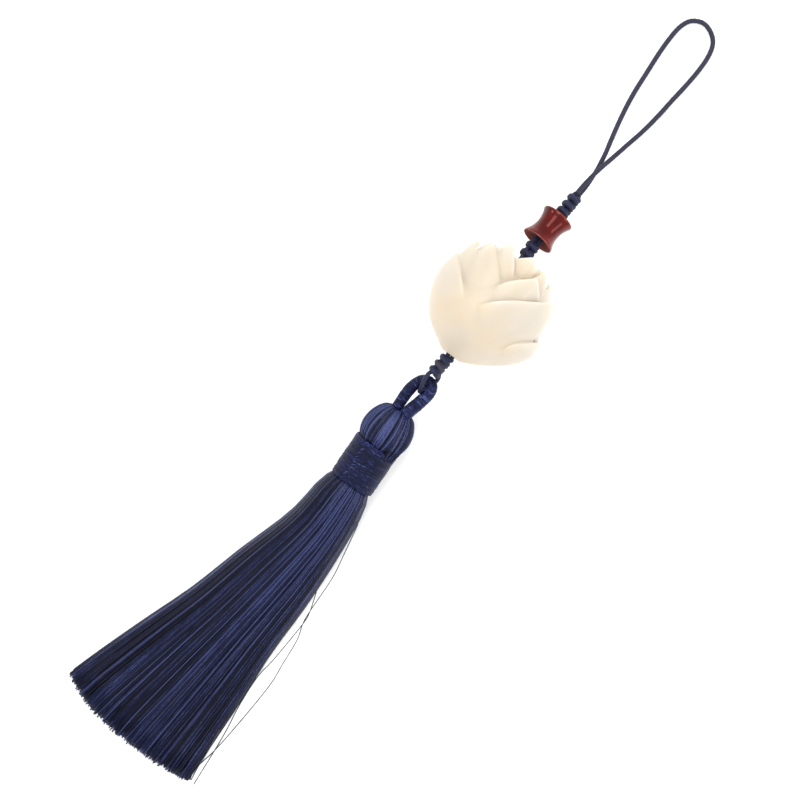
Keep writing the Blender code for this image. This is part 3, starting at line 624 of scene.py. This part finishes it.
# Wrapped loop: a cord core wound with fine silk in close turns
wrapSetup = {
    "route": [(1.60, 14.2, 7.9), (1.50, 17.2, 8.35), (1.30, 19.4, 8.7), (1.15, 21.6, 9.15), (1.30, 23.7, 9.7),
              (2.05, 25.5, 10.25), (3.30, 26.3, 10.7), (4.45, 25.8, 10.95), (4.95, 24.1, 10.9),
              (4.62, 21.4, 10.4), (4.18, 19.2, 9.85), (3.88, 17.2, 9.3), (3.75, 14.2, 8.5)],
    "thickness": ((0, 0.35, 0.5, 0.8, 1), (1.2, 1.26, 1.28, 1.42, 1.3)),  # share of its length, radius in mm
    "threadPitch": 0.36, "threadDepth": 0.07, "spacing": 0.06, "sides": 30,
    "proud": (0.6, 1.5),  # how far threads stand out, as shares of threadDepth
    "wander": 0.5,  # turns that a thread strays by
    "strayDepth": 0.05, "seed": 3.7,
    # painted shade: grooveShade darkens the grooves between the turns
    "tones": (0.2, 0.46), "grooveShade": 0.3,
    "paintedGlint": 0.3, "glintPatchPlace": 0.66, "glintPatchReach": 0.1, "glintPatchTurn": 0.9,  # painted glints on a lit patch of the right limb
}
windingNoise = {"along": 0.55, "around": 1.3, "crown": 0.7}  # how quickly wound threads stray, their backs


def woundHeights(lengths, turns, facts):
    # height over the core of threads wound round it, and the number of each thread
    lengths, turns = np.broadcast_arrays(np.asarray(lengths)[..., None], turns)
    stray = np.empty(lengths.shape)
    around = windingNoise["around"]
    for place in np.ndindex(lengths.shape):
        angle = turns[place] * 2 * math.pi
        stray[place] = noise.noise((lengths[place] * windingNoise["along"] + facts["seed"],
                                    around * math.cos(angle), around * math.sin(angle)))
    phase = lengths / facts["threadPitch"] + turns + facts["wander"] * stray * 2
    number = np.floor(phase)
    which = (number - number.min()).astype(int)
    return np.abs(np.sin(math.pi * phase)) ** windingNoise["crown"], which, stray


def makeWrappedLoop(facts):
    bag = newBag()
    line = smoothLine(facts["route"], facts["spacing"])
    lengths = np.concatenate([[0], np.cumsum(np.linalg.norm(np.diff(line, axis=0), axis=1))])
    share = lengths / lengths[-1]
    turns = np.arange(facts["sides"]) / facts["sides"]
    raised, which, stray = woundHeights(lengths, turns, facts)
    tones = chance.uniform(*facts["tones"], which.max() + 2)
    proud = chance.uniform(*facts["proud"], len(tones))
    # painted highlight: glints fall on the lit patch of the right limb
    shine = (np.exp(-((share - facts["glintPatchPlace"]) / facts["glintPatchReach"]) ** 2)[:, None]
             * np.cos(2 * math.pi * (turns - facts["glintPatchTurn"])).clip(0))
    paintedGlint = facts["paintedGlint"] * shine ** 2 * chance.uniform(0.1, 1, len(tones))[which]
    thick = np.interp(share, *facts["thickness"])[:, None]
    radius = thick + facts["threadDepth"] * raised * proud[which] + facts["strayDepth"] * stray
    # painted glints added, and painted shade in the grooves
    tint = tones[which] + paintedGlint - facts["grooveShade"] * (1 - raised)
    layThreads(bag, line[None], carriedFacing(line)[None], radius[None], facts["sides"], tint[None])
    return bagMesh(bag, "wrappedLoopThread")


wrappedLoop = makeWrappedLoop(wrapSetup)
finishPiece(wrappedLoop, wrapMaterial, "silk", "wrapped_loop")
tellStage("wrapped loop")


# The tassel's axis through its neck and bulb
neckStart = np.array([4.12, -1.35, 5.87])
neckAlong = np.array([-0.081, 1.0, 0.134])
neckAlong /= np.linalg.norm(neckAlong)
neckSide = np.array([1.0, 0.0, 0.0]) - neckAlong * neckAlong[0]
neckSide /= np.linalg.norm(neckSide)
neckFront = np.cross(neckSide, neckAlong)


def roundNeck(along, radius, angle, flatten=1.0):
    along, radius, angle, flatten = np.broadcast_arrays(along, radius, angle, flatten)
    return (neckStart + neckAlong * along[..., None] + neckSide * (radius * np.cos(angle))[..., None]
            + neckFront * (radius * flatten * np.sin(angle))[..., None])


# Binding: fine thread wound tightly round the neck, sewn down with a row of slanting stitches
bindingSetup = {
    "length": 10.1, "radius": 5.12, "inner": 4.72, "rings": 190, "sides": 150, "innerRings": 12,
    "threadPitch": 0.36, "threadDepth": 0.1, "proud": (0.5, 1.6),
    "wander": 0.75, "strayDepth": 0.08, "seed": 9.1,
    "tuck": 0.2, "tuckReach": 0.15,  # mm that the first and last turns lie deeper
    # painted shade: grooveShade darkens the grooves between the turns
    "tones": (0.18, 0.36), "grooveShade": 0.3,
    "arcs": 56, "paintedGlint": 0.12, "paintedGlintFrom": 0.9, "paintedGlintMost": 1.2,  # painted glints, each a bright arc of a turn
    "stitches": 16, "stitchAngle": 114.0, "stitchJitter": (-3, 3), "stitchRadius": 0.085, "stitchEnd": 0.45,
    "stitchHalf": 0.3, "stitchSlant": 0.075,  # half its height in mm, and half its width in radians
    "stitchLift": 0.12, "stitchSink": 0.13, "stitchShift": (-0.2, 0.2), "stitchTones": (0.3, 0.75),
}


def makeBinding(facts):
    bag = newBag()
    angle = np.linspace(0, 2 * math.pi, facts["sides"], endpoint=False)
    along = np.linspace(0, facts["length"], facts["rings"])
    raised, which, stray = woundHeights(along, angle / (2 * math.pi), facts)
    tones = chance.uniform(*facts["tones"], which.max() + 2)
    proud = chance.uniform(*facts["proud"], len(tones))
    reach = facts["tuckReach"]
    tuck = facts["tuck"] * (np.exp(-along / reach) + np.exp(-(facts["length"] - along) / reach))
    radius = (facts["radius"] + facts["threadDepth"] * raised * proud[which] + facts["strayDepth"] * stray
              - tuck[:, None])
    outer = roundNeck(along[:, None], radius, angle)
    innerAlong = np.linspace(facts["length"], 0, facts["innerRings"])[:, None]
    inner = roundNeck(innerAlong, facts["inner"], angle)
    arc = np.arange(facts["sides"]) * facts["arcs"] // facts["sides"]
    # painted glints: bright arcs on some turns
    bright = chance.normal(0, 1, (len(tones), facts["arcs"]))[which, arc] - facts["paintedGlintFrom"]
    paintedGlint = facts["paintedGlint"] * np.clip(bright, 0, facts["paintedGlintMost"])
    # painted glints added, and painted shade in the grooves
    shown = tones[which] + paintedGlint - facts["grooveShade"] * (1 - raised)
    tint = np.concatenate([shown, np.zeros(inner.shape[:2])]).T
    grid = np.concatenate([outer, inner]).transpose(1, 0, 2)
    addGrids(bag, grid[None], np.arange(facts["sides"]), tint[None], True)
    t = np.linspace(-1, 1, 7)
    lift = facts["radius"] + facts["stitchLift"] - facts["stitchSink"] * t ** 2
    for step in range(facts["stitches"]):
        middle = (facts["stitchEnd"]
                  + (facts["length"] - 2 * facts["stitchEnd"]) * step / (facts["stitches"] - 1))
        at = math.radians(facts["stitchAngle"] + chance.uniform(*facts["stitchJitter"]))
        line = roundNeck(middle + t * facts["stitchHalf"] + chance.uniform(*facts["stitchShift"]), lift,
                         at - t * facts["stitchSlant"])
        thin = facts["stitchRadius"] * (1 - 0.6 * np.abs(t[None]) ** 3)
        layThreads(bag, line[None], neckFront, thin, 6, chance.uniform(*facts["stitchTones"]))
    return bagMesh(bag, "neckBindingThread")


neckBinding = makeBinding(bindingSetup)
finishPiece(neckBinding, wrapMaterial, "binding", "neck_binding")
tellStage("neck binding")


# Bulb: the tassel's head, silk threads drawn over a core in bundles and gathered at the wrapped loop
bulbSetup = {
    "path": [(16.9, 1.2), (18.6, 1.6), (19.05, 2.5), (18.6, 3.6), (17.3, 4.6), (15.6, 5.32), (13.7, 5.6),
             (12.1, 5.42), (11.0, 5.05), (10.2, 4.62), (9.2, 4.3)],  # along the neck and radius, mm
    "core": [(8.6, 4.2), (10.6, 4.6), (13.5, 5.05), (16.0, 4.7), (17.9, 3.4), (18.3, 1.6), (16.5, 0.9)],
    "stations": 26, "sides": 4, "coreSides": 48,
    "bundles": 34, "bundleWidths": (0.35, 1.8), "bundleTones": (0.05, 0.4), "bundleHeights": (-0.01, 0.03),
    "bundleSway": (-0.035, 0.035), "bundleTone": 0.12,
    "waist": 0.02,  # share by which bundles draw together between their ends
    "cleft": 0.12,  # mm that the gaps between bundles lie deeper
    "threads": 9, "fewestThreads": 6, "threadRadius": 0.17, "thinEnd": 0.38,
    "placeJitter": (-0.3, 0.3), "turnJitter": (-0.02, 0.02), "waves": (1, 2.5),
    "heightJitter": (-0.09, 0.09),
    # painted shade: the under layer, the clefts between bundles, and the ends under the loop and by the
    # binding are darker
    "layerDepth": 0.22, "underLayerShade": 0.15,
    "tone": 0.3, "threadTones": (-0.34, 0.36), "cleftShade": 0.18, "topShade": 0.25, "footShade": 0.12,
    "wideCleft": (46, 62), "wideCleftTurn": 0.09,  # degrees round the neck, the one wide cleft at the right
    "spill": (20, 58), "spillFrom": 0.62, "spillOut": 0.95, "spillDown": 0.5,  # bundle over the binding
    "peak": 0.7, "peakReach": 0.12,  # mm that the threads stand higher between the loop's limbs
    "pressed": 0.28,  # share by which the top is pressed flat
}


def makeBulb(facts, bag):
    path = np.array(facts["path"])
    path = smoothLine(path, lineLength(path) / (facts["stations"] - 1))
    share = np.linspace(0, 1, len(path))
    arch = np.sin(math.pi * share)
    bulge = arch ** 0.6
    waist = 1 - facts["waist"] + facts["waist"] * np.cos(2 * math.pi * share)
    flatten = 1 - facts["pressed"] * np.exp(-share * 6)
    late = (share - facts["spillFrom"]).clip(0) / (1 - facts["spillFrom"])
    thin = 1 - facts["thinEnd"] + facts["thinEnd"] * np.sin(math.pi * (0.12 + 0.88 * share)).clip(0)
    # painted shade at the top under the loop and at the foot by the binding
    endShade = facts["topShade"] * np.exp(-share / 0.14) + facts["footShade"] * (share > 0.8)
    lines, tints = [], []
    edges = np.cumsum(chance.uniform(*facts["bundleWidths"], facts["bundles"]))
    edges = edges / edges[-1] * 2 * math.pi
    for before, edge in zip(np.concatenate([[0.0], edges]), edges):
        middle, half = (edge + before) / 2, (edge - before) / 2
        tone, high, sway = (
            chance.uniform(*facts[name]) for name in ("bundleTones", "bundleHeights", "bundleSway"))
        over = math.degrees(middle)
        sway += facts["wideCleftTurn"] * (facts["wideCleft"][0] < over < facts["wideCleft"][1])
        spills = facts["spill"][0] < over < facts["spill"][1]
        count = max(facts["fewestThreads"], round(facts["threads"] * half * facts["bundles"] / math.pi))
        along = path[:, 0] + facts["peak"] * abs(math.sin(middle)) * np.exp(-share / facts["peakReach"])
        for layer, thread in np.ndindex(2, count):
            place = (thread + 0.5 + chance.uniform(*facts["placeJitter"])) / count * 2 - 1
            stray = chance.uniform(*facts["turnJitter"])
            weave = stray * np.sin(math.pi * share * chance.uniform(*facts["waves"]))
            angle = middle + half * place * waist + sway * arch + weave
            radius = path[:, 1] - facts["layerDepth"] * layer + bulge * (
                high - facts["cleft"] * abs(place) ** 2.5 + chance.uniform(*facts["heightJitter"]))
            if spills:
                radius = radius + facts["spillOut"] * late ** 1.2 * (1 - place ** 2)
            lines.append(roundNeck(along - facts["spillDown"] * late * spills, radius, angle, flatten))
            # random tones, with painted shade in the under layer, the clefts and the ends
            tints.append(facts["tone"] + facts["bundleTone"] * tone + chance.uniform(*facts["threadTones"])
                         - facts["underLayerShade"] * layer - facts["cleftShade"] * abs(place) ** 3 - endShade)
    lines = np.array(lines)
    axisPoints = neckStart + neckAlong * ((lines - neckStart) @ neckAlong)[..., None]
    outward = lines - axisPoints + neckAlong * 0.6
    layThreads(bag, lines, outward, facts["threadRadius"] * thin[None], facts["sides"], np.array(tints))
    # the core inside takes the darkest colour: painted shade between the threads
    angle = np.linspace(0, 2 * math.pi, facts["coreSides"], endpoint=False)
    core = np.array(facts["core"])
    addGrids(bag, roundNeck(core[:, :1], core[:, 1:], angle)[None], core[:, 0], 0.0)
    return bagMesh(bag, "bulbThreads")


bulb = makeBulb(bulbSetup, newBag())
finishPiece(bulb, silkMaterial, "silk", "tassel")
tellStage("bulb")


# Skirt: the hanging threads, fanned out and settled on the floor
skirtSetup = {
    "stations": [(-0.7, 4.07, 4.4, 10.2, 0.0), (-1.6, 4.1, 4.85, 10.5, 0.02), (-2.5, 4.15, 5.35, 10.6, 0.05),
                 (-4.4, 4.3, 5.95, 10.6, 0.14), (-6.5, 4.4, 6.4, 10.4, 0.28),
                 (-15.0, 4.8, 7.4, 9.3, 0.75), (-28.1, 3.85, 9.75, 7.8, 1.0), (-41.3, 2.7, 11.55, 6.6, 1.0),
                 (-54.5, 1.4, 14.25, 5.6, 1.0), (-72.1, -0.2, 17.5, 4.6, 1.0), (-78.0, -0.3, 17.9, 4.4, 1.0)],
    # each: y, middle, half width, height of the top, share that has settled flat, mm
    "rows": 13, "columns": 150, "innerShare": 0.62,  # rows that don't show have fewer threads
    "placeJitter": 0.5, "levelJitter": (-0.045, 0.045),
    "pieces": 3, "points": 19, "sides": 3, "rootRadius": 0.13, "endRadius": 0.165,
    "start": -0.7, "end": -75.9, "endCurve": (3.5, 1.3), "endPower": 2.2, "endJitter": 0.45,
    "axisHeight": (5.8, 1.9, 0.134),  # mm at y = -1.9, and the slope of the neck's axis
    "wisps": 37, "wispPull": 0.34,  # threads draw together in wisps towards their ends
    "warp": ((2.3, 0.7, 0.35), (5.9, 2.0, 0.2), (13.7, 0.0, 0.12)), "warpTurns": 1.9,  # uneven wisps
    "looseFrom": 0.35, "looseReach": 0.4, "looseSide": 0.7,  # the right side is looser
    "wander": 0.012, "wanderWaves": (0.6, 2.2), "sink": 0.1,
    "tone": 0.15, "threadTone": 0.12, "strands": 118, "strandTone": 0.16,
    "paleShare": 0.1, "pale": 0.3, "darkShare": 0.14, "dark": 0.25,
    "light": (0.26, 0.25, 0.5, 24), "ridgeHighlight": (0.05, 0.35, 0.3),  # painted sheen near the neck, then a painted highlight along a ridge: tone, place, reach, mm that it reaches down
    "coreInset": 0.9,
}
skirtTable = smoothLine(skirtSetup["stations"], 0.5)
skirtTable = skirtTable[np.argsort(skirtTable[:, 0])]


def skirtPoint(across, up, y, radius, facts):
    middle, half, crown, settled = (np.interp(y, skirtTable[:, 0], skirtTable[:, k]) for k in (1, 2, 3, 4))
    half = half - radius
    height, offset, slope = facts["axisHeight"]
    axis = height + (y + offset) * slope
    across = np.clip(across, -1, 1)
    reach = half * np.sqrt(1 - across ** 2)
    flatTop = np.maximum(4 * radius, crown * (1 - np.abs(across) ** 3) ** 0.5)
    low = (1 - settled) * np.maximum(0, axis - reach) + radius
    high = (1 - settled) * np.minimum(crown, axis + reach) + settled * flatTop - radius
    return np.stack([middle + across * half, y + 0 * across, low + up * np.maximum(0, high - low)], axis=-1)


def makeSkirt(facts):
    across, up, tone = [], [], []
    for row in range(facts["rows"]):
        level = row / (facts["rows"] - 1)
        hidden = 0 < row < facts["rows"] - 3
        count = round(facts["columns"] * facts["innerShare"]) if hidden else facts["columns"]
        spread = (np.arange(count) + 0.5) / count * 2 - 1
        across.append(spread * 0.995 + chance.normal(0, facts["placeJitter"] / count, count))
        up.append((level + chance.uniform(*facts["levelJitter"], count)).clip(0, 1))
        tone.append(chance.normal(0.0, facts["threadTone"], count))
    across, up, tone = (np.concatenate(values)[:, None] for values in (across, up, tone))
    across = across.clip(-0.998, 0.998)
    total = len(across)
    strands = chance.normal(0.0, facts["strandTone"], facts["strands"])  # neighbouring threads share a tone
    strand = ((across * 0.5 + 0.5) * facts["strands"] + up * 0.6).astype(int) % facts["strands"]
    uneven = chance.normal(0, facts["endJitter"], total).clip(-1, 1.2)[:, None]
    curve = np.where(across < 0, *facts["endCurve"]) * np.abs(across) ** facts["endPower"]
    end = facts["end"] + curve + uneven
    t = np.linspace(0, 1, facts["points"])[None, :]
    y = facts["start"] + (end - facts["start"]) * t ** 1.15
    seeds = across * 3.1 + up * 0.6
    warp = sum(np.sin(seeds * rate + shift) * size for rate, shift, size in facts["warp"])
    phase = across * facts["wisps"] / 2 + warp * facts["warpTurns"] + up * 0.35
    grow = t ** 1.6
    loose = 1 + facts["looseSide"] * ((across - facts["looseFrom"]) / facts["looseReach"]).clip(0, 1)
    pull = (facts["wispPull"] * loose).clip(0, 0.93) * grow
    wander = chance.normal(0, facts["wander"], total)[:, None] * np.sin(
        math.pi * t * chance.uniform(*facts["wanderWaves"], total)[:, None])
    moved = across - pull * np.sin(2 * math.pi * phase) / (math.pi * facts["wisps"]) + wander * grow
    moved = moved.clip(-0.999, 0.999)
    sink = 1 - facts["sink"] * grow * (0.5 + 0.5 * np.cos(2 * math.pi * phase + math.pi)) ** 2
    radius = facts["rootRadius"] + (facts["endRadius"] - facts["rootRadius"]) * t + 0 * moved
    lines = skirtPoint(moved, up * sink, y, radius, facts)
    wispTone = 0.07 * np.sin(np.floor(phase + 0.5) * 2.4 + 1.0) + 0.06 * np.sin(np.floor(phase * 2.3) * 4.1)
    tint = facts["tone"] + tone + strands[strand] * (1 - 0.5 * t) + wispTone * t
    # painted sheen: a lighter band that fades away from the neck
    size, place, reach, down = facts["light"]
    tint = tint + size * np.exp(-((moved - place) / reach) ** 2) * np.exp(y / down)
    # painted highlight along a ridge of the top
    size, place, reach = facts["ridgeHighlight"]
    tint = tint + size * np.exp(-((moved - place) / reach) ** 2)
    tint = tint + facts["pale"] * (chance.random(total) < facts["paleShare"])[:, None]
    tint = tint - facts["dark"] * (chance.random(total) < facts["darkShare"])[:, None]
    order = np.argsort(across[:, 0])
    made = []
    for part in range(facts["pieces"]):
        mine = order[part * total // facts["pieces"]:(part + 1) * total // facts["pieces"]]
        bag = newBag()
        layThreads(bag, lines[mine], np.array([0.0, 0.0, 1.0]), radius[mine], facts["sides"],
                   tint[mine].clip(-0.1, 1.0))
        made.append(bagMesh(bag, f"skirtThreads{part + 1}"))
    return made, total


def makeSkirtCore(facts):
    # a dark body inside the skirt, so that no light comes through between the threads; its near-black colour
    # is painted shade
    bag = newBag()
    y = np.linspace(-1.2, facts["end"] + 4.8, 40)[:, None]
    span = np.linspace(-0.97, 0.97, 18)
    across = np.concatenate([span, span[::-1]])[None, :] + 0 * y
    up = np.concatenate([np.ones(18), np.zeros(18)])[None, :] + 0 * y
    inset = facts["coreInset"] * np.minimum(1, 0.25 + np.linspace(0, 1, 40) * 3)[:, None]
    lines = skirtPoint(across, up, y, inset * 0.55, facts)
    lines[..., 2] += np.where(up > 0.5, -0.45, 0.35) * inset
    addGrids(bag, lines[None], -y[:, 0], -0.15)
    return bagMesh(bag, "skirtCore")


skirtPieces, threadCount = makeSkirt(skirtSetup)
for piece in skirtPieces:
    finishPiece(piece, silkMaterial, "silk", "tassel")
skirtCore = makeSkirtCore(skirtSetup)
finishPiece(skirtCore, silkMaterial, "silk", "tassel")
tellStage(f"skirt, {threadCount} threads")


# Stray threads that have come away from the skirt's right side
straySetup = {
    "lines": [
        [(10.9, -7.4, 6.0), (12.75, -14.7, 4.2), (14.05, -20.5, 3.0), (14.8, -29.0, 1.9),
         (15.3, -32.2, 1.6), (16.6, -35.9, 1.3), (17.5, -42.3, 0.9), (18.15, -46.8, 0.6),
         (18.25, -54.1, 0.3), (18.05, -62.6, 0.12), (17.8, -66.6, 0.1), (17.05, -72.4, 0.1),
         (17.7, -74.8, 0.1)],
        [(15.7, -62.0, 1.5), (16.7, -67.0, 0.9), (17.2, -71.0, 0.4), (17.9, -74.6, 0.1)],
        [(16.2, -64.0, 1.3), (16.9, -68.5, 0.7), (17.0, -72.0, 0.3), (17.3, -75.1, 0.1)],
        [(13.0, -24.4, 3.4), (14.85, -29.2, 2.1), (15.35, -32.4, 1.75), (15.3, -42.3, 1.0),
         (14.95, -47.7, 0.6), (15.75, -54.8, 0.35), (17.0, -61.0, 0.25), (17.75, -65.8, 0.25),
         (18.45, -71.1, 0.1), (18.95, -75.0, 0.1)],
    ],
    "radius": 0.115, "spacing": 0.7, "sides": 5,
    "hue": "30303a",
}


def makeStrays(facts):
    bag = newBag()
    for points in facts["lines"]:
        line = smoothLine(points, facts["spacing"])
        layThreads(bag, line[None], carriedFacing(line)[None], facts["radius"], facts["sides"], 0.5)
    return bagMesh(bag, "strayThreads")


strayLook = {"Base Color": linearColour(straySetup["hue"]), "Roughness": 0.4, "IOR": 1.5}
strays = makeStrays(straySetup)
finishPiece(strays, newMaterial("singleRayonFilament", strayLook)[0], "silk")
tellStage("stray threads")


# Floor: a wide sheet of matt white card
def makeFloor():
    bpy.ops.object.select_all(action="DESELECT")
    bpy.ops.mesh.primitive_plane_add(size=6.0, location=(0.0, 0.0, 0.0))
    floor = bpy.context.object
    floor.name = "floor"
    surface = {"Roughness": 0.9, "Base Color": linearColour("fbfbfb")}
    floor.data.materials.append(newMaterial("mattWhiteCard", surface)[0])


makeFloor()


# Lights: a bright even room. The two long soft lights show as windows in the red bead.
lightSetup = [
    # name, place and aim in m, width and length in m, watts
    ("softOverhead", (-0.40, 0.28, 1.20), (0.0, 0.05, 0.0), (0.5, 1.3), 9.0),
    ("softRight", (0.90, 0.28, 0.75), (0.0, 0.07, 0.0), (0.4, 1.1), 4.5),
    ("smallLeft", (-0.81, -0.27, 0.50), (0.0, 0.07, 0.0), (0.12, 0.12), 0.6),
]
roomLight = 1.25


def makeLights():
    for name, place, aim, size, watts in lightSetup:
        bpy.ops.object.light_add(type="AREA", location=place)
        light = bpy.context.object
        light.name = name
        light.data.shape = "RECTANGLE"
        light.data.size, light.data.size_y = size
        light.data.energy = watts
        back = (Vector(place) - Vector(aim)).normalized()
        side = Vector((0.0, 1.0, 0.0)).cross(back).normalized()  # the light's length follows the charm
        light.rotation_euler = Matrix((side, back.cross(side), back)).transposed().to_euler()
    world = bpy.context.scene.world or bpy.data.worlds.new("brightRoom")
    bpy.context.scene.world = world
    world.use_nodes = True
    background = world.node_tree.nodes["Background"]
    background.inputs["Color"].default_value = (1.0, 1.0, 1.0, 1.0)
    background.inputs["Strength"].default_value = roomLight


makeLights()
bpy.context.scene.view_settings.view_transform = "Standard"
tellStage("floor and lights")
